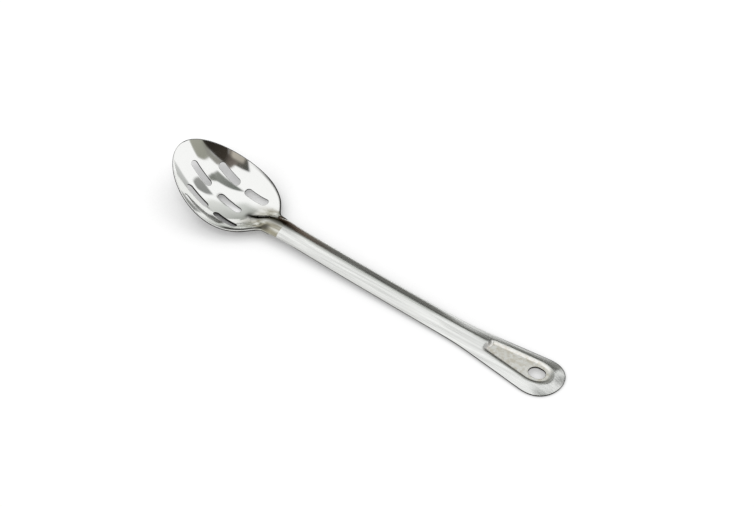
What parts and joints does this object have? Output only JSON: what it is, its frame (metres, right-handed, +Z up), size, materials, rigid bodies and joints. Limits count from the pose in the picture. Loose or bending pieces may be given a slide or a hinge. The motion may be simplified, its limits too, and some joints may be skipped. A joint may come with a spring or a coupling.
{
  "type": "slotted serving spoon",
  "caption": "Slotted serving spoon pressed from stainless sheet: a deep polished bowl and a long satin channel handle with a recessed panel and a hanging hole.",
  "frame": {"origin": "middle of the spoon's box in plan, at the level of the table it lies on", "axes": "+X from the bowl's tip towards the hanging hole, +Z up, the bowl open upwards; the spoon is symmetric about Y = 0"},
  "size_m": [0.3326, 0.0656, 0.0385],
  "materials": {
    "polished_steel": "mirror-polished stainless steel",
    "satin_steel": "satin stainless steel, brushed along the handle"
  },
  "bodies": {
    "root": {"bowl": "polished_steel", "handle": "satin_steel"}
  },
  "joints": []
}
